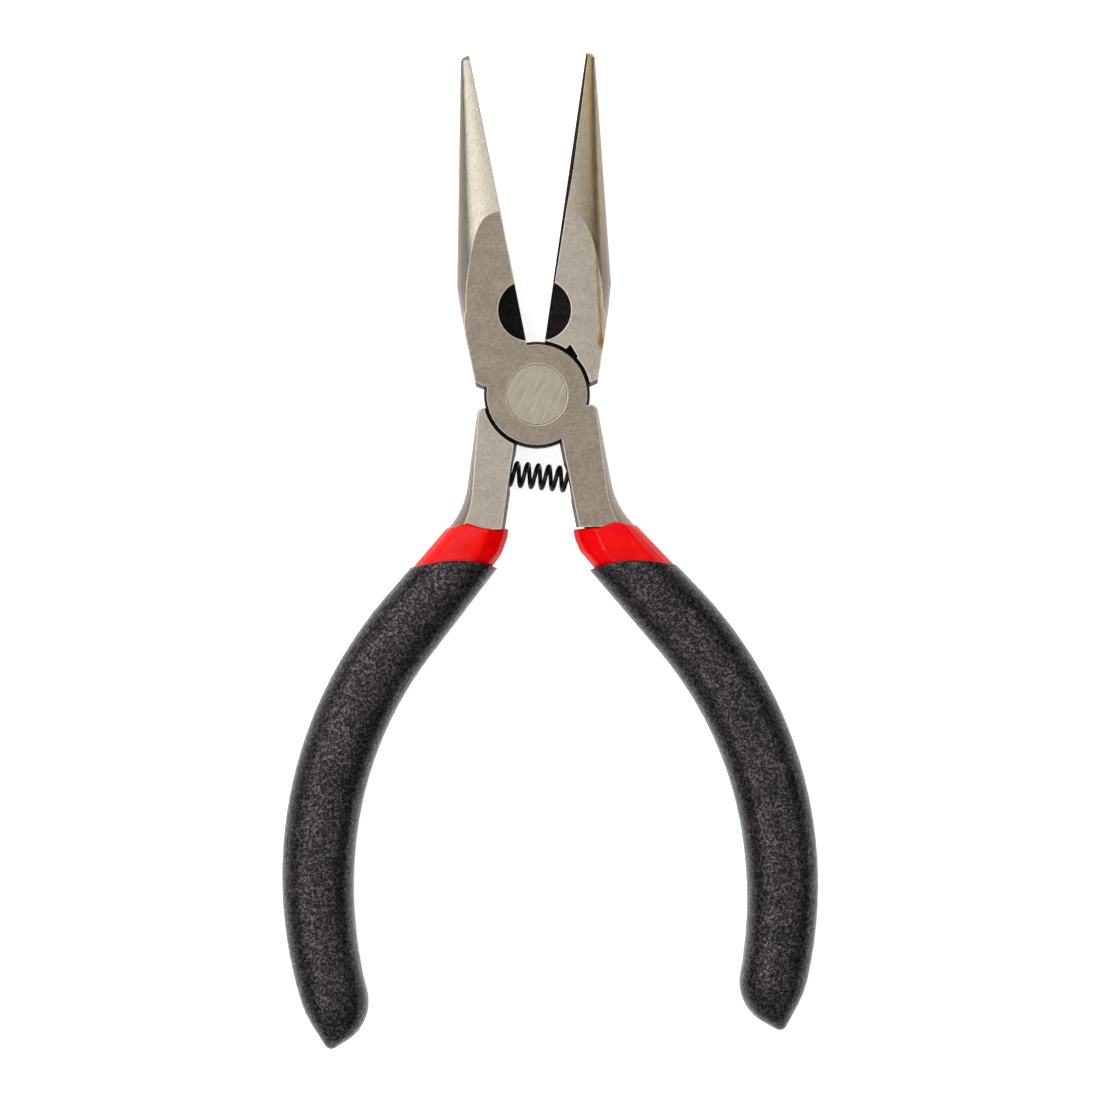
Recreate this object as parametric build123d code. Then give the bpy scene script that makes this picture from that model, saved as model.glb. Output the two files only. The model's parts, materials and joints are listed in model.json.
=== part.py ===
"""Small long-nose combination pliers with side cutters, lying on their back.

The frame: +Z up out of the front face, +Y towards the jaw tips, and the origin where
the pivot axis meets the back face of the joint. Both steel halves are one forging,
used twice: the second is turned over about the Y axis.

A half is drawn closed, with its gripping face on x = 0, its jaw on the -x side and its
handle on the +x side, then turned about the pivot to where the return spring holds it.
"""

from build123d import *
import os
from math import cos, pi, radians, sin, tan

# Driving dimensions, in millimetres and degrees
joint_thickness = 8.0
rest_turn = 9.7              # each half's turn from closed, held open by the spring
jaw_tip = 43.3               # pivot axis to the tip of the nose

disc_radius = 6.6            # lapping disc round the pivot
disc_bevel = 0.35
recess_radius = 6.75         # pocket that the other half's disc turns in
lap_gap = 0.04               # between the two lapping faces
grip_gap = 0.03              # between the gripping faces when closed

rivet_head_radius = 3.75
rivet_shank_radius = 2.5
rivet_head_land = 0.3
rivet_running_gap = 0.03     # round the rivet in the half that turns on it
rivet_tight_gap = 0.005      # round the rivet in the half that holds it

jaw_width = 7.3              # gripping face to the outer edge at the root
nose_base = 15.2             # where the tapered nose starts
nose_width_base = 7.16
nose_depth_base = 5.26
nose_width_tip = 1.2
nose_depth_tip = 0.95
nose_power = 3.0             # exponent of the superellipse that rounds the nose
nose_steps = 14
nose_end = ((0.5, 1.0, 1.0), (0.15, 0.75, 0.7), (0.0, 0.4, 0.35))  # from tip, width, depth
root_end = 9.0
root_depth = 16.0            # well over the joint's thickness, so that its faces are flat
root_blend = 12.0
root_blend_depth = 6.3
root_shoulder = ((-7.25, 3.0), (-5.96, 2.2), (-4.5, 0.0))
root_draft = 0.45            # the shoulder reaches this much lower at the middle plane

cutter_centre = 10.5
cutter_radius = 3.8
cutter_reach = 2.75          # how far the cutter's hollow reaches into the jaw
cutter_slope = 1.2
cutter_land = 0.2

# The bevel along the gripping edge, on the half's back: height up the jaw and width
edge_bevels = ((12.5, 0.2), (23.3, 0.35), (28.0, 0.5), (36.0, 0.4), (43.8, 0.25))
edge_bevel_slope = 1.1

# Chip relief in the pocket's wall: radius and angle of its corners
notch_corners = ((6.3, 113.5), (7.5, 115.6), (6.95, 129.0), (6.3, 130.0))

tang_inner = 1.6             # inner wall of the handle, from the middle plane
tang_draft = 0.35            # the inner wall leans back by this much at each face
tang_root = (4.26, -2.3)     # start of the shoulder, inside the disc
tang_shoulder = (7.1, -2.6)
tang_shoulder_radius = 0.8
tang_waist = 6.95
tang_lean_radius = 10.0
tang_inner_top = -5.6        # the inner wall starts here, inside the disc
tang_disc_joint = -4.0
tang_foot_rise = 4.0         # the tang's foot, above the start of the handle's bow
tang_overlap = 3.0           # the core starts this far up inside the bare tang
tang_inset = 0.4             # the bare tang lies this far inside the grip's outline
tang_rounding = 1.1          # rounding of the outer wall, seen from the front
tang_rounding_shares = (0.15, 0.85, 1.35)  # how much of it: shoulder, waist and foot
tang_rounding_turn = 65.0
tang_levels = 4
core_thickness = 5.6

handle_width = 9.1
bow_centre = (-29.85, -56.3)
bow_radius = 53.4
bow_start = 32.5             # degrees above the bow's centre where it runs out straight
bow_end_front = -24.0        # the back half's handle is the longer one
bow_end_back = -25.0
handle_inner = 0.85
bow_inner_upper_radius = 46.0
bow_inner_lower_radius = 52.0
bow_inner_x = 14.47          # furthest reach of the upper and lower inner bows
bow_inner_y = -56.6
bow_inner_turn = 29.3
heel_lead = 2.5              # the inner bow ends this many degrees before the outer
knee_radius = 1.5
outline_top = -8.0
tail_heel_drop = 4.2         # from the end of the inner bow to the heel's corner
tail_heel_radius = 5.6
tail_shoulder_drop = 1.6     # from the end of the outer bow to the corner above the tip
tail_shoulder_radius = 12.0
tail_tip_drop = 7.3          # the tip's corner, down and inwards from the outer bow's end
tail_tip_inwards = 1.5
tail_tip_radius = 1.0

sleeve_inset = 0.3           # thickness of the black grip over the red sleeve
sleeve_thickness = 8.8
sleeve_rounding = 3.4
core_inset = 1.75            # the tang lies this far inside the grip's outline
core_end = -70.0             # height of the tang's end, with the handles at rest
grip_thickness = 9.8
grip_rounding = 4.0
rod_straight = 24.0          # the handle's bar before it is trimmed: its straight part
rod_tail_turn = 15.0         # and its bow's turn past the end of the outer bow
sleeve_mouth = -16.6         # heights of the two mouths, with the handles at rest
grip_mouth = -20.9

spring_seat_back = 10.2      # distance of each spring seat below the pivot
spring_seat_front = 11.5
spring_seat_radius = 2.25
spring_seat_depth = 2.0
spring_seat_overrun = 2.0    # the drilling starts this far clear of the wall
spring_wire = 0.56
spring_outer = 3.4
spring_turns = 7.5
spring_end_gap = 0.15

middle = joint_thickness / 2
trim_size = 200.0            # larger than any piece, for the blocks that trim them


def slab(outline, low, high):
    """A plate of the given outline between two heights."""
    return extrude(Pos(0, 0, low) * outline, high - low)


def polygon(*points):
    return make_face(Polyline(*points, close=True))


def nose_section(y, half_width, half_depth):
    """Half a superellipse across the nose, flat on the gripping face."""
    points = []
    for step in range(nose_steps + 1):
        angle = pi * (step / nose_steps - 0.5)
        across = max(cos(angle), 0) ** (2 / nose_power)
        up = abs(sin(angle)) ** (2 / nose_power)
        height = half_depth * up if angle > 0 else -half_depth * up
        points.append((-grip_gap / 2 - half_width * across, y, middle + height))
    return make_face([Spline(*points), Line(points[-1], points[0])])


def nose():
    """The rounded, tapered jaw, ground flat to the joint's thickness near its root."""
    stations = [
        (root_end, jaw_width, root_depth),
        (root_blend, jaw_width, root_blend_depth),
        (nose_base, nose_width_base, nose_depth_base),
    ]
    for back, wide, deep in nose_end:
        stations.append((jaw_tip - back, wide * nose_width_tip, deep * nose_depth_tip))
    sections = [nose_section(*station) for station in stations]
    blank = loft(sections, ruled=True)
    return blank & Pos(0, 0, middle) * Box(trim_size, trim_size, joint_thickness)


def jaw_root():
    """The jaw between the nose and the disc, with draft on its shoulder."""
    levels = []
    for height, draft in ((0, 0), (middle, root_draft), (joint_thickness, 0)):
        outline = polygon(
            (-grip_gap / 2, 0),
            (-grip_gap / 2, root_end),
            (-jaw_width - grip_gap / 2, root_end),
            *[(x, y - draft) for x, y in root_shoulder],
        )
        levels.append(Pos(0, 0, height) * outline)
    return loft(levels, ruled=True)


def edge_bevel():
    """The long bevel along the gripping face's edge on the back, as one tool."""
    slope = (nose_depth_tip - nose_depth_base) / (jaw_tip - nose_end[0][0] - nose_base)
    sections = []
    for y, width in edge_bevels:
        depth = nose_depth_base + slope * (y - nose_base)
        low = middle - min(depth, middle)
        start = -grip_gap / 2 - width
        corners = (
            (start, y, low),
            (start, y, low - 1),
            (1, y, low - 1),
            (1, y, low + edge_bevel_slope * (1 - start)),
        )
        sections.append(polygon(*corners))
    return loft(sections, ruled=True)


def cutter_hollow():
    """Bevelled half-moon on each face, leaving a cutting edge at the middle plane."""
    round_wall = Pos(cutter_radius - cutter_reach, cutter_centre, middle)
    round_wall *= Cylinder(cutter_radius, 4 * joint_thickness)
    rise = cutter_slope * 2 * cutter_reach
    tools = []
    for side in (-1, 1):
        wedge = polygon(
            (1, middle + side * cutter_land),
            (-grip_gap / 2, middle + side * cutter_land),
            (-2 * cutter_reach, middle + side * (cutter_land + rise)),
            (-2 * cutter_reach, middle + side * 3 * middle),
            (1, middle + side * 3 * middle),
        )
        standing = Plane.XZ * wedge
        tools.append(extrude(standing, trim_size / 2, both=True) & round_wall)
    return tools


def on_bow(angle):
    """A point of the handle's outer bow."""
    x, y = bow_centre
    return (x + bow_radius * cos(radians(angle)), y + bow_radius * sin(radians(angle)))


def handle_outline(top, bow_end):
    """Plan of the grip's outside, carried straight up past the knee to y = top."""
    bow_top = on_bow(bow_start)
    rise = (top - bow_top[1]) / cos(radians(bow_start))
    outer_top = (bow_top[0] - rise * sin(radians(bow_start)), top)
    inner_turn = radians(bow_inner_turn)
    inner_top = (
        bow_inner_x - bow_inner_upper_radius * (1 - cos(inner_turn)),
        bow_inner_y + bow_inner_upper_radius * sin(inner_turn),
    )
    knee_drop = (inner_top[0] - handle_inner) / tan(inner_turn)
    knee = (handle_inner, inner_top[1] + knee_drop)
    lean_out = FilletPolyline((handle_inner, top), knee, inner_top, radius=knee_radius)
    upper_bow = JernArc(inner_top, lean_out % 1, bow_inner_upper_radius, -bow_inner_turn)
    lower_bow = JernArc(upper_bow @ 1, (0, -1), bow_inner_lower_radius, bow_end + heel_lead)
    heel = lower_bow @ 1 + (lower_bow % 1) * tail_heel_drop
    outer_bow = CenterArc(bow_centre, bow_radius, bow_end, bow_start - bow_end)
    foot, down = outer_bow @ 0, (outer_bow % 0) * -1
    tip = foot + down * tail_tip_drop + down.rotate(Axis.Z, -90) * tail_tip_inwards
    tail = FilletPolyline(
        lower_bow @ 1,
        heel,
        tip,
        foot + down * tail_shoulder_drop,
        foot,
        radius=[tail_heel_radius, tail_tip_radius, tail_shoulder_radius],
    )
    straight = Line(outer_bow @ 1, outer_top)
    mouth = Line(outer_top, (handle_inner, top))
    return make_face([lean_out, upper_bow, lower_bow, tail, outer_bow, straight, mouth])


def below(height):
    """Everything under a level that is square to the tool's length at rest."""
    centre = Pos(0, height - trim_size / 2, middle)
    return Rot(0, 0, -rest_turn) * centre * Box(trim_size, trim_size, trim_size)


def handle_rod(inset, thickness, rounding, bow_end):
    """A rounded bar that follows the handle's bow, trimmed to the handle's outline."""
    centre_radius = bow_radius - handle_width / 2
    bow = CenterArc(bow_centre, centre_radius, bow_start, bow_end - rod_tail_turn - bow_start)
    start = bow @ 0 - (bow % 0) * rod_straight
    path = Pos(0, 0, middle) * Wire([Line(start, bow @ 0), bow])
    ends = Plane(path @ 0, x_dir=(0, 0, 1), z_dir=path % 0)
    profile = ends * RectangleRounded(thickness, handle_width - 2 * inset, rounding)
    outline = handle_outline(outline_top, bow_end)
    if inset > 0:
        outline = offset(outline, -inset)
    return sweep(profile, path) & slab(outline, middle - thickness, middle + thickness)


def tang_outline(inner_inset, outer_inset):
    """Plan of the bare tang, from inside the disc to below the sleeve's mouth."""
    line_x, line_y = on_bow(bow_start)
    slope = tan(radians(bow_start))
    at_shoulder, at_waist, at_foot = [outer_inset * share for share in tang_rounding_shares]
    edge_x = line_x - (tang_inset + at_foot) / cos(radians(bow_start))
    waist_x = tang_waist - at_waist
    foot_y = line_y + tang_foot_rise
    shoulder_x, shoulder_y = tang_shoulder
    outer = FilletPolyline(
        tang_root,
        (shoulder_x - at_shoulder, shoulder_y),
        (waist_x, line_y + (edge_x - waist_x) / slope),
        (edge_x - (foot_y - line_y) * slope, foot_y),
        radius=[tang_shoulder_radius, tang_lean_radius],
    )
    inner_x = tang_inner + inner_inset
    rest = Polyline(
        outer @ 1,
        (inner_x, foot_y),
        (inner_x, tang_inner_top),
        (0, tang_disc_joint),
        outer @ 0,
    )
    return make_face([outer, rest])


def tang_block():
    """The bare tang: drafted on its inner wall and rounded on its outer one."""
    full_turn = radians(tang_rounding_turn)
    levels = []
    for step in range(-tang_levels, tang_levels + 1):
        turn = full_turn * abs(step) / tang_levels
        rise = sin(turn) / sin(full_turn)
        height = middle + middle * (rise if step > 0 else -rise)
        outer_inset = tang_rounding * (1 - cos(turn)) / (1 - cos(full_turn))
        outline = tang_outline(tang_draft * rise, outer_inset)
        levels.append(Pos(0, 0, height) * outline)
    return loft(levels, ruled=True) - below(sleeve_mouth)


def tang_core(bow_end):
    """The thinner tang inside the sleeve."""
    outline = offset(handle_outline(outline_top, bow_end), -core_inset)
    blank = slab(outline, middle - core_thickness / 2, middle + core_thickness / 2)
    return (blank & below(sleeve_mouth + tang_overlap)) - below(core_end)


def disc():
    """The lapping disc of a half, on its front side, with its rim bevelled."""
    low = middle + lap_gap / 2
    blank = Pos(0, 0, (low + joint_thickness) / 2) * Cylinder(disc_radius, joint_thickness - low)
    rim = blank.edges().sort_by(Axis.Z)[-1]
    return chamfer(rim, disc_bevel)


def notch():
    points = []
    for radius, angle in notch_corners:
        points.append((radius * cos(radians(angle)), radius * sin(radians(angle))))
    return slab(polygon(*points), -1, middle + lap_gap / 2)


def rivet_shape(gap, overrun):
    """The flush double-headed rivet, grown by a gap to make the hole for it."""
    head = rivet_head_radius + gap
    shank = rivet_shank_radius + gap
    land = rivet_head_land
    cone_foot = land + rivet_head_radius - rivet_shank_radius
    top = joint_thickness
    outline = polygon(
        (0, -overrun),
        (head, -overrun),
        (head, land),
        (shank, cone_foot),
        (shank, top - cone_foot),
        (head, top - land),
        (head, top + overrun),
        (0, top + overrun),
    )
    return revolve(Plane.XZ * outline, Axis.Z)


def spring_seat(distance):
    length = spring_seat_depth + spring_seat_overrun
    centre = tang_inner + spring_seat_depth - length / 2
    return Pos(centre, -distance, middle) * Rot(0, 90, 0) * Cylinder(spring_seat_radius, length)


def forging(rivet_gap, seat_distance, bow_end):
    """One steel half, closed, with its disc in front."""
    body = jaw_root() + nose() + tang_block() + tang_core(bow_end)
    pocket_depth = 2 * joint_thickness
    pocket = Pos(0, 0, middle + lap_gap / 2 - pocket_depth / 2)
    pocket *= Cylinder(recess_radius, pocket_depth)
    body = body - pocket - notch()
    body = body + disc()
    body = body - cutter_hollow() - edge_bevel() - spring_seat(seat_distance)
    return body - rivet_shape(rivet_gap, 1)


def opened(shape):
    """A front-half piece turned from closed to its rest position."""
    return Rot(0, 0, rest_turn) * shape


def turned_over(shape):
    """The same piece for the back half: turned over, then opened the other way."""
    over = Pos(0, 0, middle) * Rot(0, 180, 0) * Pos(0, 0, -middle)
    return Rot(0, 0, -rest_turn) * over * shape


def sleeve(bow_end):
    rod = handle_rod(sleeve_inset, sleeve_thickness, sleeve_rounding, bow_end)
    return (rod & below(sleeve_mouth)) - tang_core(bow_end)


def grip(bow_end):
    rod = handle_rod(0, grip_thickness, grip_rounding, bow_end)
    hollow = handle_rod(sleeve_inset, sleeve_thickness, sleeve_rounding, bow_end)
    return (rod & below(grip_mouth)) - hollow


def return_spring():
    """A coil held between the two seats, in line with their floors at rest."""
    depth = tang_inner + spring_seat_depth - spring_end_gap - spring_wire / 2
    front = Vector(depth, -spring_seat_front, middle).rotate(Axis.Z, rest_turn)
    back = Vector(-depth, -spring_seat_back, middle).rotate(Axis.Z, -rest_turn)
    length = (front - back).length
    coil_radius = (spring_outer - spring_wire) / 2
    helix = Helix(length / spring_turns, length, coil_radius)
    start = Plane(helix @ 0, z_dir=helix % 0)
    coil = sweep(start * Circle(spring_wire / 2), helix, is_frenet=True)
    return Plane(back, z_dir=front - back) * coil


pieces = {
    "front_half": opened(forging(rivet_running_gap, spring_seat_front, bow_end_front)),
    "back_half": turned_over(forging(rivet_tight_gap, spring_seat_back, bow_end_back)),
    "pivot_rivet": rivet_shape(0, 0),
    "return_spring": return_spring(),
    "front_sleeve": opened(sleeve(bow_end_front)),
    "back_sleeve": turned_over(sleeve(bow_end_back)),
    "front_grip": opened(grip(bow_end_front)),
    "back_grip": turned_over(grip(bow_end_back)),
}

os.makedirs("parts", exist_ok=True)
for name, shape in pieces.items():
    export_step(shape, f"parts/{name}.step")
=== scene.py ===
"""Looks for the small long-nose pliers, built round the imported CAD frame.

Lengths below are in millimetres, in the frame of one half drawn closed: its gripping
face on x = 0, its jaw on the -x side and its handle on the +x side. to_row() carries a
point of that frame to the rest pose, in metres. The back half is the same, turned over.
"""
import json
from math import atan2, cos, degrees, exp, pi, radians, sin, tan

import bmesh
import bpy
import numpy as np
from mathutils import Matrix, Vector, noise


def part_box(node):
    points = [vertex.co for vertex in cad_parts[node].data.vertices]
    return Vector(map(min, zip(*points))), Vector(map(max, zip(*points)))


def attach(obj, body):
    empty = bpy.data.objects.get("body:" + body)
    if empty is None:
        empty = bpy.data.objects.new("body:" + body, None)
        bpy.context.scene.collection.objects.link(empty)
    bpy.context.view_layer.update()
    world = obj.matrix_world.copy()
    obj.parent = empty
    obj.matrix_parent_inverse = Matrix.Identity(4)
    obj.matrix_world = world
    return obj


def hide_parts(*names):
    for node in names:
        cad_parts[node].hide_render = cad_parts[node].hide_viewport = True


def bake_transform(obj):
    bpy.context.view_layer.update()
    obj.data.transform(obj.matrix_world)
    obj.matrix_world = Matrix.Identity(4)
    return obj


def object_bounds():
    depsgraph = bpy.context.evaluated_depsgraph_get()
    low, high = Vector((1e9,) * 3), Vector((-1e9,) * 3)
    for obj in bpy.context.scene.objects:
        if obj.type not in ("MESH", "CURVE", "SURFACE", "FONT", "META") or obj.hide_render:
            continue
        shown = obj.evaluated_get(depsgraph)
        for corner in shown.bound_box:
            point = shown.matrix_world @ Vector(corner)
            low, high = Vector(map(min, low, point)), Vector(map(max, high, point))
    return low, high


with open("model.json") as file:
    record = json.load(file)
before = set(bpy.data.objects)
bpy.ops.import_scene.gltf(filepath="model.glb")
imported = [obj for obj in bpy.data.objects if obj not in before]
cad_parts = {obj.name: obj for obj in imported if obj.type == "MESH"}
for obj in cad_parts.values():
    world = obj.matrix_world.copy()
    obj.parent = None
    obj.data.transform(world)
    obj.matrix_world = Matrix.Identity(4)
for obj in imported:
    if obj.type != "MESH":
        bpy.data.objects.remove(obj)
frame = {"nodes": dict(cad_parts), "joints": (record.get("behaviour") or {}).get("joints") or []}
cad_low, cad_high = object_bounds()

MM = 0.001
SIDES = ("front", "back")
pivot = frame["joints"][0]
rest_turn = -pivot["range_deg"][0] / 2
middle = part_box("pivot_rivet")[1][2] / MM / 2
face_height = 2 * middle

# ---------------------------------------------------------------- shared geometry


def turn_of(side):
    """How far the half-frame of a side is turned at rest, in degrees."""
    return rest_turn if side == "front" else -rest_turn


def to_row(points, side):
    """Half-frame millimetres to row-frame metres at rest."""
    x, y, z = np.asarray(points, float).T
    if side == "back":
        x, z = -x, face_height - z
    turn = radians(turn_of(side))
    return np.stack([x * cos(turn) - y * sin(turn), x * sin(turn) + y * cos(turn), z], 1) * MM


def to_half(points, side):
    """Row-frame metres at rest to half-frame millimetres."""
    x, y, z = np.asarray(points, float).T / MM
    turn = -radians(turn_of(side))
    x, y = x * cos(turn) - y * sin(turn), x * sin(turn) + y * cos(turn)
    if side == "back":
        x, z = -x, face_height - z
    return np.stack([x, y, z], 1)


def arc(centre, radius, start, end, step=0.25):
    count = max(3, int(abs(radians(end - start)) * radius / step))
    angles = np.radians(np.linspace(start, end, count))
    return np.stack([centre[0] + radius * np.cos(angles), centre[1] + radius * np.sin(angles)], 1)


def rounded(corners, radii, step=0.25):
    """A polyline with its inner corners rounded by arcs."""
    path = [np.array(corners[0], float)]
    for before, corner, after, radius in zip(corners, corners[1:], corners[2:], radii):
        before, corner, after = (np.array(p, float) for p in (before, corner, after))
        into = (corner - before) / np.linalg.norm(corner - before)
        out = (after - corner) / np.linalg.norm(after - corner)
        turn = np.arctan2(into[0] * out[1] - into[1] * out[0], into @ out)
        reach = radius * tan(abs(turn) / 2)
        side = np.sign(turn)
        centre = corner - into * reach + side * radius * np.array([-into[1], into[0]])
        first = degrees(atan2(*(corner - into * reach - centre)[::-1]))
        path.extend(arc(centre, radius, first, first + degrees(turn), step))
    path.append(np.array(corners[-1], float))
    return np.array(path)


def resampled(path, step):
    """The same path with points at an even spacing."""
    runs = np.linalg.norm(np.diff(path, axis=0), axis=1)
    path = path[np.append(True, runs > 1e-9)]
    along = np.append(0, np.cumsum(np.linalg.norm(np.diff(path, axis=0), axis=1)))
    even = np.linspace(0, along[-1], max(2, int(along[-1] / step)))
    return np.stack([np.interp(even, along, path[:, k]) for k in (0, 1)], 1)


def new_object(name, vertices, faces):
    """A mesh object from points, recalculated so that its normals point outwards."""
    mesh = bpy.data.meshes.new(name)
    mesh.from_pydata([tuple(v) for v in vertices], [], faces)
    work = bmesh.new()
    work.from_mesh(mesh)
    bmesh.ops.recalc_face_normals(work, faces=work.faces)
    work.to_mesh(mesh)
    work.free()
    mesh.polygons.foreach_set("use_smooth", [True] * len(mesh.polygons))
    piece = bpy.data.objects.new(name, mesh)
    bpy.context.collection.objects.link(piece)
    return piece


# ---------------------------------------------------------------- handle shapes

BOW_CENTRE = (-29.85, -56.3)     # the handle's outer edge is an arc round this point
BOW_RADIUS = 53.4
BOW_START = 32.5
BOW_END = {"front": -24.0, "back": -25.0}
HANDLE_INNER = 0.85              # the straight inner edge at the top, before the knee
INNER_BOW = (14.47, -56.6)       # furthest reach of the inner bows
INNER_RADII = (46.0, 52.0)
INNER_TURN = 29.3
HEEL_LEAD = 2.5                  # the inner bow ends this many degrees before the outer
HANDLE_TOP = -8.0                # both edges are drawn from this height down
KNEE_RADIUS = 1.5
HEEL_DROP, HEEL_RADIUS = 4.2, 5.6
TIP_DROP, TIP_INWARDS, TIP_RADIUS = 7.3, 1.5, 1.0
SHOULDER_DROP, SHOULDER_RADIUS = 1.6, 12.0


def direction(angle):
    return np.array([cos(radians(angle)), sin(radians(angle))])


def bow_point(angle):
    return np.array(BOW_CENTRE) + BOW_RADIUS * direction(angle)


def handle_edges(side):
    """The grip's inner and outer edges in plan, from the top down to the tail's tip."""
    end = BOW_END[side]
    lower_turn = end + HEEL_LEAD
    upper, lower = INNER_RADII
    inner_top = np.array(INNER_BOW) + upper * (direction(INNER_TURN) - (1, 0))
    slope = tan(radians(INNER_TURN))
    knee = (HANDLE_INNER, inner_top[1] + (inner_top[0] - HANDLE_INNER) / slope)
    lean = rounded([(HANDLE_INNER, HANDLE_TOP), knee, inner_top], [KNEE_RADIUS])
    upper_bow = arc((INNER_BOW[0] - upper, INNER_BOW[1]), upper, INNER_TURN, 0)
    lower_bow = arc((INNER_BOW[0] - lower, INNER_BOW[1]), lower, 0, lower_turn)
    heel = lower_bow[-1] + direction(lower_turn - 90) * HEEL_DROP
    bow_foot = bow_point(end)
    heading = direction(end - 90)
    inwards = np.array([heading[1], -heading[0]])
    tip = bow_foot + heading * TIP_DROP + inwards * TIP_INWARDS
    shoulder = bow_foot + heading * SHOULDER_DROP
    corners = [lower_bow[-1], heel, tip, shoulder, bow_foot]
    tail = rounded(corners, [HEEL_RADIUS, TIP_RADIUS, SHOULDER_RADIUS])
    split = int(np.argmin(tail[:, 1]))
    bow_top = bow_point(BOW_START)
    rise = (HANDLE_TOP - bow_top[1]) / cos(radians(BOW_START))
    outer_top = bow_top + rise * direction(BOW_START + 90)
    bow = arc(BOW_CENTRE, BOW_RADIUS, BOW_START, end)
    inner = np.concatenate([lean, upper_bow, lower_bow, tail[: split + 1]])
    outer = np.concatenate([[outer_top], bow, tail[split:][::-1]])
    return inner, outer


def row_height(points, side):
    """Height up the tool of plan points, in millimetres, at rest."""
    flat = np.column_stack([points, np.full(len(points), middle)])
    return to_row(flat, side)[:, 1] / MM


def from_mouth(path, side, height):
    """The part of an edge below a mouth."""
    heights = row_height(path, side)
    first = int(np.argmax(heights < height))
    share = (heights[first - 1] - height) / (heights[first - 1] - heights[first])
    start = path[first - 1] + share * (path[first] - path[first - 1])
    return np.vstack([start, path[first:]])


def faceted_section(corners, count):
    """A unit section of the handle from its upper corners (across, up, softness),
    listed from the outer side to the inner one and mirrored below."""
    above = [(x, y) for x, y, _ in corners]
    soft = [r for _, _, r in corners]
    path = [(above[0][0], 0)] + above + [(x, -y) for x, y in above[::-1]] + [(above[0][0], 0)]
    path = resampled(rounded(path, soft + soft[::-1], 0.01), 0.002)
    along = np.linspace(0, len(path) - 1, count, endpoint=False).astype(int)
    return path[along].T


def soft_section(power, count):
    """A unit oval, squarer the higher the power."""
    angles = np.arange(count) * 2 * pi / count
    across, up = np.cos(angles), np.sin(angles)
    reach = (np.abs(across) ** power + np.abs(up) ** power) ** (-1 / power)
    return across * reach, up * reach


def at_shares(path, shares):
    """Points at shares of the length of an evenly spaced path."""
    own = np.linspace(0, 1, len(path))
    return np.stack([np.interp(shares, own, path[:, k]) for k in (0, 1)], 1)


EDGE_STEP = 0.1
EDGE_SHARES = np.linspace(0, 1, 400)
MOUTH_FADE = 4.0                 # the mouth's dip dies away over this length
TAIL_LENGTH = 9.0                # the section closes over this length, on a rounded curve
TAIL_POWER = 2.6
PINCH_START, PINCH_FADE = 1.5, 2.5
TIP_GAP = 0.05                   # the last outer ring stops this short of the tip
INNER_TIP_GAP = 0.2              # and the last inner ring this far short of the wall
LIP_RINGS = 7


class Handle:
    """A layer of the handle: rings between the inner and outer edges below a mouth."""

    def __init__(self, side, mouth, step, section):
        edges = [resampled(from_mouth(edge, side, mouth), EDGE_STEP) for edge in handle_edges(side)]
        self.length = EDGE_STEP * sum(map(len, edges)) / 2
        self.inner, self.outer = (at_shares(edge, EDGE_SHARES) for edge in edges)
        self.across, self.up = section
        self.step = step

    def ring(self, place, inset, half_height, mouth, pinch):
        """Points round the section at a place along the handle, in millimetres.
        mouth is how far each point sinks down the handle, which fades away from the top.
        pinch is how far the inner side is drawn in."""
        place = place + mouth * exp(-place / MOUTH_FADE)
        share = place / self.length
        inner, outer = at_shares(self.inner, share), at_shares(self.outer, share)
        half = (outer - inner) / 2
        width = np.linalg.norm(half, axis=1)
        drawn_in = inset + pinch * np.where(self.across < 0, -self.across, 0)
        narrow = np.clip((width - drawn_in) / np.maximum(width, 1e-6), 0, 1)
        left = np.clip((self.length - place) / TAIL_LENGTH, 0, 1)
        closing = np.sqrt(np.clip(1 - (1 - left) ** TAIL_POWER, 0, 1))
        plan = (inner + outer) / 2 + half * (self.across * narrow)[:, None]
        return np.column_stack([plan, middle + self.up * (half_height - inset) * closing])


def shell(handle, inset, half_height, lip, wall, mouth, pinch=0.0):
    """A closed sleeve: outer skin, rounded lip at the mouth, and inner skin."""
    places = np.arange(lip, handle.length - TIP_GAP, handle.step)
    deep = half_height + inset

    def ring(place, extra):
        waist = pinch * min(max((place - PINCH_START) / PINCH_FADE, 0), 1)
        return handle.ring(place, inset + extra, deep, mouth, waist)

    rings = [ring(place, 0) for place in places[::-1]]
    for angle in np.linspace(0, pi, LIP_RINGS + 2)[1:-1]:
        rings.append(ring(lip * (1 - sin(angle)), lip * (1 - cos(angle))))
    inner_places = np.arange(lip, handle.length - wall - INNER_TIP_GAP, 4 * handle.step)
    rings += [ring(place, wall) for place in inner_places]
    count = len(handle.across)
    points = np.vstack(rings)
    tips = [rings[0].mean(0), rings[-1].mean(0)]
    faces = []
    for row in range(len(rings) - 1):
        for k in range(count):
            a, b = row * count + k, row * count + (k + 1) % count
            faces.append((a, b, b + count, a + count))
    outer_tip, inner_tip = len(points), len(points) + 1
    last = (len(rings) - 1) * count
    for k in range(count):
        faces.append((outer_tip, (k + 1) % count, k))
        faces.append((inner_tip, last + k, last + (k + 1) % count))
    return np.vstack([points, tips]), faces


# ---------------------------------------------------------------- shader helpers


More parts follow.
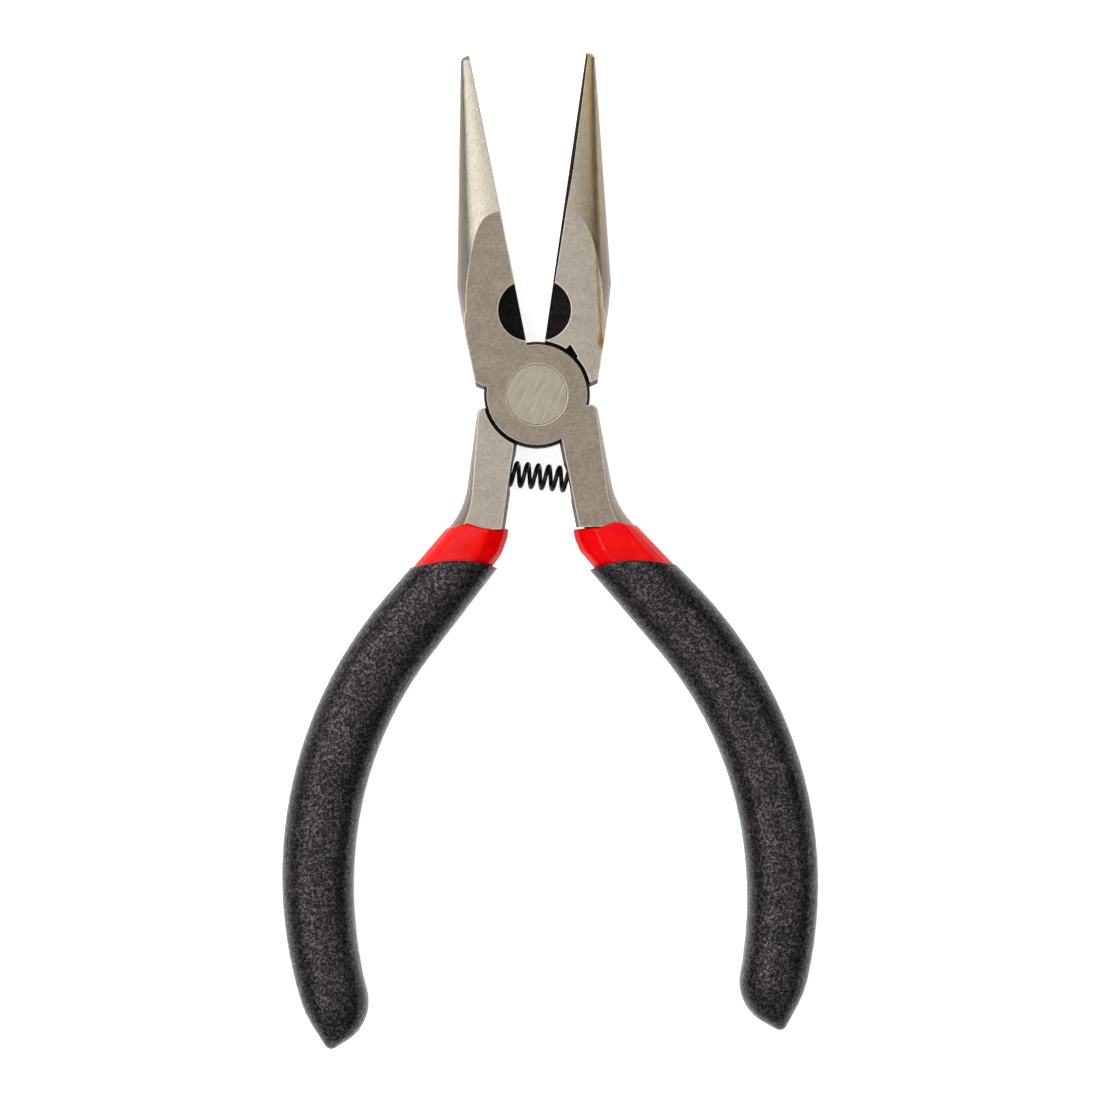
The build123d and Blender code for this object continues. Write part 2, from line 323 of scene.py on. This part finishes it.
class Shader:
    """A node tree built by short calls."""

    def __init__(self, name):
        self.material = bpy.data.materials.new(name)
        self.material.use_nodes = True
        self.tree = self.material.node_tree
        self.tree.nodes.clear()
        self.output = self.add("ShaderNodeOutputMaterial")
        self.body = self.add("ShaderNodeBsdfPrincipled")
        self.link(self.body, "BSDF", self.output, "Surface")
        self.place = self.add("ShaderNodeTexCoord")

    def add(self, kind, **settings):
        node = self.tree.nodes.new(kind)
        for key, value in settings.items():
            setattr(node, key, value)
        return node

    def link(self, node, output, target, target_input):
        self.tree.links.new(node.outputs[output], target.inputs[target_input])

    def put(self, socket, value):
        """Links a (node, output) pair to the socket, or sets a plain value on it."""
        if isinstance(value, tuple) and isinstance(value[0], bpy.types.Node):
            self.tree.links.new(value[0].outputs[value[1]], socket)
        else:
            socket.default_value = value

    def set(self, **values):
        """Puts values on the surface shader's own sockets."""
        for name, value in values.items():
            self.put(self.body.inputs[name.replace("_", " ")], value)

    def mapped(self, scale, turn):
        """Object coordinates, scaled and turned in plan."""
        node = self.add("ShaderNodeMapping", vector_type="TEXTURE")
        self.link(self.place, "Object", node, "Vector")
        node.inputs["Rotation"].default_value = (0, 0, radians(turn))
        node.inputs["Scale"].default_value = tuple(scale)
        return node, "Vector"

    def noise(self, size, detail=3.0, rough=0.55, vector=None, warp=0.0):
        """Noise whose features are about size millimetres across."""
        node = self.add("ShaderNodeTexNoise")
        vector = vector or (self.place, "Object")
        self.put(node.inputs["Vector"], vector)
        node.inputs["Scale"].default_value = 1 / (size * MM)
        node.inputs["Detail"].default_value = detail
        node.inputs["Roughness"].default_value = rough
        node.inputs["Distortion"].default_value = warp
        return node, "Fac"

    def stretched(self, size, along, turn, detail=2.0):
        """Streaks size millimetres wide that run along a direction in plan."""
        return self.noise(size, detail, vector=self.mapped((along, 1, 1), turn))

    def ranged(self, value, low, high, to_low=0.0, to_high=1.0):
        node = self.add("ShaderNodeMapRange", interpolation_type="SMOOTHSTEP")
        self.put(node.inputs["Value"], value)
        limits = {"From Min": low, "From Max": high, "To Min": to_low, "To Max": to_high}
        for key, number in limits.items():
            node.inputs[key].default_value = number
        return node, "Result"

    def math(self, operation, first, second=0.0):
        node = self.add("ShaderNodeMath", operation=operation)
        self.put(node.inputs[0], first)
        self.put(node.inputs[1], second)
        return node, "Value"

    def total(self, *parts):
        """The sum of (value, share) pairs, each value times its share."""
        scaled = [self.math("MULTIPLY", value, share) for value, share in parts]
        result = scaled[0]
        for part in scaled[1:]:
            result = self.math("ADD", result, part)
        return result

    def mix(self, share, first, second):
        node = self.add("ShaderNodeMix", data_type="RGBA")
        self.put(node.inputs["Factor"], share)
        self.put(node.inputs["A"], first)
        self.put(node.inputs["B"], second)
        return node, "Result"

    def bump(self, height, depth, strength=1.0, under=None):
        node = self.add("ShaderNodeBump")
        node.inputs["Strength"].default_value = strength
        node.inputs["Distance"].default_value = depth * MM
        self.put(node.inputs["Height"], height)
        if under:
            self.put(node.inputs["Normal"], under)
        return node, "Normal"

    def steep(self, low, high, at_low=1.0, at_high=0.0):
        """Goes from at_low where the surface stands steep to at_high where it lies flat."""
        parts = self.add("ShaderNodeSeparateXYZ")
        self.link(self.place, "Normal", parts, 0)
        return self.ranged(self.math("ABSOLUTE", (parts, "Z")), low, high, at_low, at_high)

    def softened(self, radius):
        """The normal with sharp edges rounded off."""
        soft = self.add("ShaderNodeBevel", samples=6)
        soft.inputs["Radius"].default_value = radius * MM
        return soft, "Normal"

    def edges(self, radius, low=0.004, high=0.12):
        """One on edges, zero on flats and smooth curves."""
        soft, _ = self.softened(radius)
        shape = self.add("ShaderNodeNewGeometry")
        dot = self.add("ShaderNodeVectorMath", operation="DOT_PRODUCT")
        self.link(soft, "Normal", dot, 0)
        self.link(shape, "Normal", dot, 1)
        return self.ranged(self.math("SUBTRACT", 1.0, (dot, "Value")), low, high)


def rgb(red, green, blue):
    """A colour from 8-bit display values."""
    shares = (red / 255, green / 255, blue / 255)
    linear = [((c + 0.055) / 1.055) ** 2.4 if c > 0.04 else c / 12.92 for c in shares]
    return (*linear, 1.0)


# ---------------------------------------------------------------- steel

CREST_LINE_SLOPE, CREST_LINE_TIP = 0.19, 44.2     # the brown line keeps to a path that leans out from the tip
CREST_LINE_START = (6.4, 7.6)         # heights over which it sets in
CREST_LINE_FOOT = (9.0, 7.6)          # heights over which its darker foot sets in, going down
CREST_LINE_STRAW = (14.0, 26.0)       # heights over which the straw tint round it sets in
STRAW_WIDTH, LINE_WIDTH, FOOT_WIDTH = 1.5, 0.32, 0.75


def ground_steel(name, side, dark, light, grain_turn):
    """Fine surface-ground steel with a short, crossing grain."""
    s = Shader(name)
    speckle = s.noise(0.28, 4, 0.65)
    cloud = s.noise(2.6, 2)
    grain = s.stretched(0.16, 6, grain_turn)
    cross = s.stretched(0.2, 5, grain_turn + 70)
    tone = s.total((speckle, 0.5), (cloud, 0.2), (grain, 0.3))
    colour = s.mix(s.ranged(tone, 0.34, 0.66), dark, light)
    # painted highlight: every edge is lightened towards a pale cream
    colour = s.mix(s.math("MULTIPLY", s.edges(0.3), 0.9), colour, rgb(236, 226, 205))
    if side == "back":
        # painted shade: the back half's steep sides are darkened
        colour = s.mix(s.steep(0.6, 0.98), colour, rgb(112, 102, 91))
        colour = brown_crest_line(s, colour, rgb(150, 126, 84), rgb(116, 84, 40))
    height = s.math("ADD", grain, cross)
    rough = s.ranged(height, 0.75, 1.25, 0.34, 0.46)
    s.set(Base_Color=colour, Metallic=1.0, Roughness=rough)
    s.set(Normal=s.bump(height, 0.01, 0.5, s.softened(0.16)))
    return s.material


def brown_crest_line(s, colour, straw, brown):
    """A brown, straw-tinted line along the crest of the back half's nose."""
    parts = s.add("ShaderNodeSeparateXYZ")
    s.put(parts.inputs[0], s.mapped((MM, MM, MM), -rest_turn))
    wobble = s.math("MULTIPLY", s.math("SUBTRACT", s.noise(5.0), 0.5), 0.25)
    line = s.math("MULTIPLY", s.math("SUBTRACT", CREST_LINE_TIP, (parts, "Y")), CREST_LINE_SLOPE)
    off = s.math("ADD", s.math("SUBTRACT", (parts, "X"), line), wobble)
    apart = s.math("ABSOLUTE", off)
    above = s.ranged((parts, "Y"), *CREST_LINE_START)
    on_nose = s.ranged((parts, "Y"), *CREST_LINE_STRAW)
    patchy = s.ranged(s.noise(1.6), 0.3, 0.6, 0.7, 1.0)
    wide = s.math("MULTIPLY", s.ranged(apart, 0.1, STRAW_WIDTH, 0.55, 0.0), on_nose)
    thin = s.math("MULTIPLY", s.ranged(apart, 0.0, LINE_WIDTH, 0.8, 0.0), above)
    foot = s.ranged(apart, 0.1, FOOT_WIDTH, 0.9, 0.0)
    foot = s.math("MULTIPLY", foot, s.ranged((parts, "Y"), *CREST_LINE_FOOT))
    foot = s.math("MULTIPLY", s.math("MULTIPLY", foot, above), s.steep(0.3, 0.8, 0.0, 1.0))
    colour = s.mix(s.math("MULTIPLY", wide, patchy), colour, straw)
    colour = s.mix(s.math("MULTIPLY", thin, patchy), colour, brown)
    return s.mix(foot, colour, rgb(112, 78, 30))


def nose_steel(name, side, dark, light):
    """The rounded noses, polished along their length."""
    s = Shader(name)
    along = s.stretched(0.14, 9, turn_of(side) + 90)
    speckle = s.noise(0.26, 4, 0.6)
    cross = s.stretched(0.14, 6, turn_of(side) + 40)
    tone = s.total((along, 0.3), (speckle, 0.4), (cross, 0.3))
    colour = s.mix(s.ranged(tone, 0.34, 0.66), dark, light)
    # painted shade: the steep outer sides of the noses are darkened, standing in for a dark
    # reflected band
    colour = s.mix(s.steep(0.6, 0.86), colour, rgb(118, 108, 99))
    # painted highlight: the noses' edges are lightened towards a pale cream
    colour = s.mix(s.math("MULTIPLY", s.edges(0.16), 0.5), colour, rgb(240, 232, 214))
    if side == "back":
        colour = brown_crest_line(s, colour, rgb(222, 198, 148), rgb(206, 166, 108))
    rough = s.ranged(along, 0.3, 0.7, 0.3, 0.4)
    s.set(Base_Color=colour, Metallic=1.0, Roughness=rough)
    s.set(Normal=s.bump(s.math("ADD", along, cross), 0.008, 0.5, s.softened(0.12)))
    return s.material


def black_oxide(name):
    """Unground forging skin: blackened, slightly scaly."""
    s = Shader(name)
    scale = s.noise(0.5, 5, 0.6)
    colour = s.mix(s.ranged(scale, 0.35, 0.7), rgb(5, 4, 5), rgb(38, 31, 31))
    # painted highlight: the edges of the blackened skin are lightened towards a pale steel grey
    colour = s.mix(s.math("MULTIPLY", s.edges(0.07, 0.02, 0.2), 0.35), colour, rgb(176, 164, 146))
    rough = s.ranged(scale, 0.3, 0.7, 0.42, 0.62)
    s.set(Base_Color=colour, Metallic=0.2, Roughness=rough, Specular_IOR_Level=0.3)
    s.set(Normal=s.bump(scale, 0.03, 0.7))
    return s.material


def rivet_steel(name):
    """The rivet's heads are ground on their own, so their scratches run another way."""
    s = Shader(name)
    streak = s.stretched(0.12, 12, 62)
    wide = s.stretched(0.5, 6, 62)
    tone = s.total((streak, 0.6), (wide, 0.4))
    colour = s.mix(s.ranged(tone, 0.3, 0.7), rgb(132, 125, 114), rgb(156, 148, 136))
    colour = s.mix(s.math("MULTIPLY", s.edges(0.15), 0.3), colour, rgb(104, 96, 84))
    rough = s.ranged(streak, 0.3, 0.7, 0.36, 0.46)
    s.set(Base_Color=colour, Metallic=1.0, Roughness=rough)
    s.set(Normal=s.bump(streak, 0.008, 0.4, s.softened(0.12)))
    return s.material


def spring_wire(name):
    """Blackened spring wire, a little shiny."""
    s = Shader(name)
    speckle = s.noise(0.25, 3)
    colour = s.mix(s.ranged(speckle, 0.35, 0.7), rgb(14, 13, 13), rgb(36, 33, 32))
    s.set(Base_Color=colour, Metallic=0.6, Roughness=s.ranged(speckle, 0.3, 0.7, 0.3, 0.45))
    return s.material


# ---------------------------------------------------------------- plastics


def red_vinyl(name):
    """Glossy dipped vinyl with a faint orange peel."""
    s = Shader(name)
    cloud = s.noise(1.6, 2)
    peel = s.noise(0.7, 2)
    colour = s.mix(s.ranged(cloud, 0.3, 0.7), rgb(232, 0, 2), rgb(248, 3, 6))
    s.set(Base_Color=colour, Roughness=s.ranged(peel, 0.3, 0.7, 0.2, 0.28))
    s.set(Normal=s.bump(peel, 0.03, 0.3), Specular_IOR_Level=0.03)
    s.set(Coat_Weight=0.22, Coat_Roughness=0.05)
    return s.material


def black_rubber(name):
    """Dipped rubber with a pebbled grain that glints on its crests."""
    s = Shader(name)
    grain = s.noise(0.42, 4, 0.8, warp=0.4)
    fine = s.noise(0.2, 2, 0.7)
    crest = s.total((grain, 0.6), (fine, 0.4))
    glint = s.ranged(crest, 0.46, 0.6)
    patches = s.ranged(s.noise(3.0, 2), 0.35, 0.7, 1.0, 0.65)
    colour = s.mix(s.math("MULTIPLY", glint, patches), rgb(3, 3, 3), rgb(96, 89, 94))
    dust = s.ranged(s.noise(0.22, 2), 0.68, 0.76)
    colour = s.mix(s.math("MULTIPLY", dust, 0.5), colour, rgb(150, 132, 112))
    s.set(Base_Color=colour, Metallic=s.math("MULTIPLY", glint, 0.9), Roughness=0.3)
    s.set(Normal=s.bump(crest, 0.06, 0.8), Specular_IOR_Level=0.12)
    return s.material


# ---------------------------------------------------------------- steel pieces

GROUND, POLISHED, BLACKENED = 0, 1, 2
FACE_FLAT = 0.995                # a ground face's normal is at least this upright
FACE_TOLERANCE = 0.02
NOSE_ROOT = 9.0                  # above this the jaw's rounded outside is polished
NOSE_CLEAR = 16.0                # and above this, all but the gripping face
GRIPPING_SIDE = 0.3              # faces that look further to +x than this are the gripping side
ROOT_FOOT, ROOT_SIDE = 2.9, -6.5     # the jaw root's outer side
TANG_TOP, TANG_SIDE = -2.3, 5.0      # the tang's outer side
DISC_CLEAR = 6.9                 # and it keeps this far from the pivot


def steel_kind(centre, normal):
    """The finish of one polygon of a steel half, from its place in the half-frame."""
    x, y, z = centre
    nx, _, nz = normal
    on_face = min(abs(z), abs(z - face_height)) < FACE_TOLERANCE
    if abs(nz) > FACE_FLAT and on_face:
        return GROUND
    if y > NOSE_ROOT and nx < -0.02 and x < -0.1:
        return POLISHED
    if y > NOSE_CLEAR and nx < GRIPPING_SIDE:
        return POLISHED
    if ROOT_FOOT < y <= NOSE_ROOT and nx < -0.8 and x < ROOT_SIDE:
        return POLISHED
    if y < TANG_TOP and nx > 0.1 and x > TANG_SIDE and (x * x + y * y) ** 0.5 > DISC_CLEAR:
        return GROUND
    return BLACKENED


def dress_steel(side, materials):
    """Gives each polygon of a CAD steel half its finish."""
    piece = frame["nodes"][f"{side}_half"]
    mesh = piece.data
    mesh.materials.clear()
    for material in materials:
        mesh.materials.append(material)
    count = len(mesh.polygons)
    centres, normals = np.empty(count * 3), np.empty(count * 3)
    mesh.polygons.foreach_get("center", centres)
    mesh.polygons.foreach_get("normal", normals)
    centres = to_half(centres.reshape(-1, 3), side)
    normals = to_half(normals.reshape(-1, 3) * MM, side)
    if side == "back":
        normals[:, 2] -= face_height
    kinds = [steel_kind(c, n) for c, n in zip(centres, normals)]
    mesh.polygons.foreach_set("material_index", kinds)


def steel_pieces():
    """Finishes for the CAD halves and the rivet, which keep their own shapes."""
    oxide = black_oxide("black_oxide")
    front = ground_steel("ground_front", "front", rgb(108, 99, 89), rgb(138, 128, 116), 35)
    back = ground_steel("ground_back", "back", rgb(131, 123, 113), rgb(157, 149, 138), -50)
    front_nose = nose_steel("nose_front", "front", rgb(146, 139, 127), rgb(180, 172, 159))
    back_nose = nose_steel("nose_back", "back", rgb(158, 148, 128), rgb(192, 181, 160))
    dress_steel("front", (front, front_nose, oxide))
    dress_steel("back", (back, back_nose, oxide))
    rivet = frame["nodes"]["pivot_rivet"]
    rivet.data.materials.clear()
    rivet.data.materials.append(rivet_steel("rivet_ground"))


# ---------------------------------------------------------------- spring

WIRE, COIL_OUTER = 0.56, 3.4
COIL_TURNS = 7.5
SEAT_BACK, SEAT_FRONT = 10.2, 11.5     # how far below the pivot each half's seat is
COIL_END = 3.15                  # the last turn's centre stays off the seat's floor
STEPS_PER_TURN, WIRE_SIDES = 40, 14


def return_spring():
    """A wire tube wound between the two blind seats."""
    ends = [
        Vector(to_row([(COIL_END, -SEAT_BACK, middle)], "back")[0]),
        Vector(to_row([(COIL_END, -SEAT_FRONT, middle)], "front")[0]),
    ]
    axis = (ends[1] - ends[0]).normalized()
    up = Vector((0, 0, 1))
    side = axis.cross(up)
    radius = (COIL_OUTER - WIRE) / 2 * MM
    length = (ends[1] - ends[0]).length
    steps = int(COIL_TURNS * STEPS_PER_TURN)
    points, faces = [], []
    rise = length / (2 * pi * COIL_TURNS)
    for k in range(steps + 1):
        angle = 2 * pi * COIL_TURNS * k / steps
        out = side * cos(angle) + up * sin(angle)
        centre = ends[0] + axis * (length * k / steps) + out * radius
        tangent = (up * cos(angle) - side * sin(angle)) * radius + axis * rise
        tangent.normalize()
        third = tangent.cross(out)
        for j in range(WIRE_SIDES):
            turn = 2 * pi * j / WIRE_SIDES
            points.append(centre + (out * cos(turn) + third * sin(turn)) * WIRE / 2 * MM)
    for k in range(steps):
        for j in range(WIRE_SIDES):
            a, b = k * WIRE_SIDES + j, k * WIRE_SIDES + (j + 1) % WIRE_SIDES
            faces.append((a, b, b + WIRE_SIDES, a + WIRE_SIDES))
    faces.append(tuple(range(WIRE_SIDES)))
    faces.append(tuple(steps * WIRE_SIDES + j for j in reversed(range(WIRE_SIDES))))
    piece = new_object("coil_spring", points, faces)
    piece.data.materials.append(spring_wire("blackened_wire"))
    tuple(ends[0])
    tuple(ends[1])
    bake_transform(piece)
    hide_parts("return_spring")


# ---------------------------------------------------------------- sleeves and grips

SLEEVE_MOUTH = {"front": -15.95, "back": -15.65}     # the front half's dip is the deeper
GRIP_MOUTH = {"front": -20.9, "back": -20.35}
COLLAR_MOUTH = ((-1, 0.9), (-0.2, 0.85), (0.2, 0.4), (0.45, 0.1), (0.7, 0.35), (1, 0.7))
COLLAR_PINCH = 0.45              # the collar is drawn in on its inner side
COLLAR_LIP, SLEEVE_WALL = 0.35, 1.2
SLEEVE_HEIGHT, GRIP_HEIGHT = 4.4, 4.9     # half the thickness of each layer
SLEEVE_INSET = 0.3
SLEEVE_STEP, SLEEVE_SIDES = 0.4, 128
GRIP_ARCH, ARCH_CENTRE = 1.1, 0.1
GRIP_LIP, GRIP_WALL = 0.2, 0.3
GRIP_STEP, GRIP_SIDES = 0.28, 112
GRIP_SQUARENESS = 2.6
LUMP_SIZE, LUMP_HEIGHT, LUMP_LEVEL = 0.9, 0.035, 0.4
COLLAR_CORNERS = (
    (1.0, 0.42, 0.12),
    (0.84, 0.74, 0.1),
    (0.62, 0.97, 0.1),
    (-0.34, 1.0, 0.3),
    (-0.66, 0.82, 0.15),
    (-0.84, 0.66, 0.1),
    (-1.0, 0.36, 0.12),
)


def lumpy(mesh):
    """Gives the foam's skin its shallow, uneven lumps."""
    count = len(mesh.vertices)
    places, normals = np.empty(count * 3), np.empty(count * 3)
    mesh.vertices.foreach_get("co", places)
    mesh.vertices.foreach_get("normal", normals)
    places, normals = places.reshape(-1, 3), normals.reshape(-1, 3)
    lumps = np.array([noise.noise(Vector(place) / (LUMP_SIZE * MM)) for place in places])
    places += normals * (lumps - LUMP_LEVEL)[:, None] * LUMP_HEIGHT * MM
    mesh.vertices.foreach_set("co", places.ravel())
    mesh.update()


def sleeve(side, material):
    """The red inner layer, which shows as a collar."""
    section = faceted_section(COLLAR_CORNERS, SLEEVE_SIDES)
    handle = Handle(side, SLEEVE_MOUTH[side], SLEEVE_STEP, section)
    mouth = np.interp(handle.across, *zip(*COLLAR_MOUTH))
    skin = (SLEEVE_INSET, SLEEVE_HEIGHT, COLLAR_LIP, SLEEVE_WALL)
    points, faces = shell(handle, *skin, mouth, COLLAR_PINCH)
    piece = new_object(f"{side}_collar", to_row(points, side), faces)
    piece.data.materials.append(material)
    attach(piece, f"{side}_half")
    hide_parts(f"{side}_sleeve")


def grip(side, material):
    """The black outer layer."""
    section = soft_section(GRIP_SQUARENESS, GRIP_SIDES)
    handle = Handle(side, GRIP_MOUTH[side], GRIP_STEP, section)
    mouth = GRIP_ARCH * (handle.across - ARCH_CENTRE) ** 2
    points, faces = shell(handle, 0.0, GRIP_HEIGHT, GRIP_LIP, GRIP_WALL, mouth)
    piece = new_object(f"{side}_foam_grip", to_row(points, side), faces)
    mesh = piece.data
    lumpy(mesh)
    mesh.materials.append(material)
    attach(piece, f"{side}_half")
    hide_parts(f"{side}_grip")


# ---------------------------------------------------------------- studio

CAMERA_DISTANCE = 0.70
VIEW_WIDTH = 0.1365              # width of the floor that the camera takes in
PHOTO_ROLL = 1.55                # degrees that the tool is turned in the picture
VIEW_OFFSET = (0.0011, -0.00024)     # camera's aim from the middle of the tool's box
FLOOR_HALF, FLOOR_GAP = 1.5, 0.0001
LIGHT_DISTANCE = 0.8
LIGHTS = (                       # name, direction, width and length, radiance
    ("key", (-0.5, 0.25, 0.83), (0.58, 0.9), 2.2),
    ("right_strip", (0.42, 0.0, 0.91), (0.025, 0.5), 20.0),
    ("left_strip", (-0.4, -0.25, 0.91), (0.025, 0.5), 16.0),
)
WALL_LEFT, WALL_RIGHT = (0.16, 0.158, 0.155, 1), (0.03, 0.03, 0.03, 1)
WALL_LEVELS = ((0.12, 0.35), (0.32, 0.64), (0.5, 0.56), (0.72, 0.48), (0.82, 0.26), (0.9, 0.07))
WALL_TINT = (1, 0.985, 0.96)


def camera():
    """A camera straight above, far enough off for the photo's flat perspective."""
    aim = (cad_low + cad_high) / 2
    data = bpy.data.cameras.new("camera")
    data.sensor_width = 36
    data.lens = data.sensor_width * CAMERA_DISTANCE / VIEW_WIDTH
    data.clip_start, data.clip_end = 0.01, 10
    piece = bpy.data.objects.new("camera", data)
    bpy.context.collection.objects.link(piece)
    height = cad_high[2] + CAMERA_DISTANCE
    piece.location = (aim[0] + VIEW_OFFSET[0], aim[1] + VIEW_OFFSET[1], height)
    piece.rotation_euler = (0, 0, -radians(PHOTO_ROLL))
    bpy.context.scene.camera = piece


def floor():
    """A pale light table."""
    half = FLOOR_HALF
    corners = [(-half, -half), (half, -half), (half, half), (-half, half)]
    level = cad_low[2] - FLOOR_GAP
    piece = new_object("floor", [(x, y, level) for x, y in corners], [(0, 1, 2, 3)])
    s = Shader("pale_floor")
    tone = s.mix(s.noise(40.0), (0.8, 0.8, 0.8, 1), (0.84, 0.84, 0.84, 1))
    s.set(Base_Color=tone, Roughness=0.8)
    s.set(Emission_Color=(1, 1, 1, 1), Emission_Strength=0.75)
    piece.data.materials.append(s.material)


def softbox(name, heading, size, radiance):
    """A rectangular area light that faces the pliers."""
    data = bpy.data.lights.new(name, "AREA")
    data.shape = "RECTANGLE"
    data.size, data.size_y = size
    data.energy = radiance * pi * size[0] * size[1]
    piece = bpy.data.objects.new(name, data)
    bpy.context.collection.objects.link(piece)
    place = Vector(heading).normalized() * LIGHT_DISTANCE
    piece.location = place
    piece.rotation_euler = (-place).to_track_quat("-Z", "Y").to_euler()


def studio():
    """Soft daylight from above and the left, and a dim wall on the right."""
    world = bpy.data.worlds.new("studio")
    bpy.context.scene.world = world
    world.use_nodes = True
    tree = world.node_tree
    place = tree.nodes.new("ShaderNodeTexCoord")
    parts = tree.nodes.new("ShaderNodeSeparateXYZ")
    ramp = tree.nodes.new("ShaderNodeValToRGB")
    stops = ramp.color_ramp.elements
    stops[0].color, stops[1].color = WALL_LEFT, WALL_RIGHT
    for position, level in WALL_LEVELS:
        stops.new(position).color = (*(level * share for share in WALL_TINT), 1)
    across = tree.nodes.new("ShaderNodeMapRange")
    across.inputs["From Min"].default_value = -1
    tree.links.new(place.outputs["Generated"], parts.inputs[0])
    tree.links.new(parts.outputs["X"], across.inputs["Value"])
    tree.links.new(across.outputs[0], ramp.inputs[0])
    tree.links.new(ramp.outputs[0], tree.nodes["Background"].inputs["Color"])
    for light in LIGHTS:
        softbox(*light)
    bpy.context.scene.view_settings.view_transform = "Standard"


camera()
floor()
studio()
steel_pieces()
return_spring()
red = red_vinyl("red_vinyl")
rubber = black_rubber("black_rubber")
for half in SIDES:
    sleeve(half, red)
    grip(half, rubber)
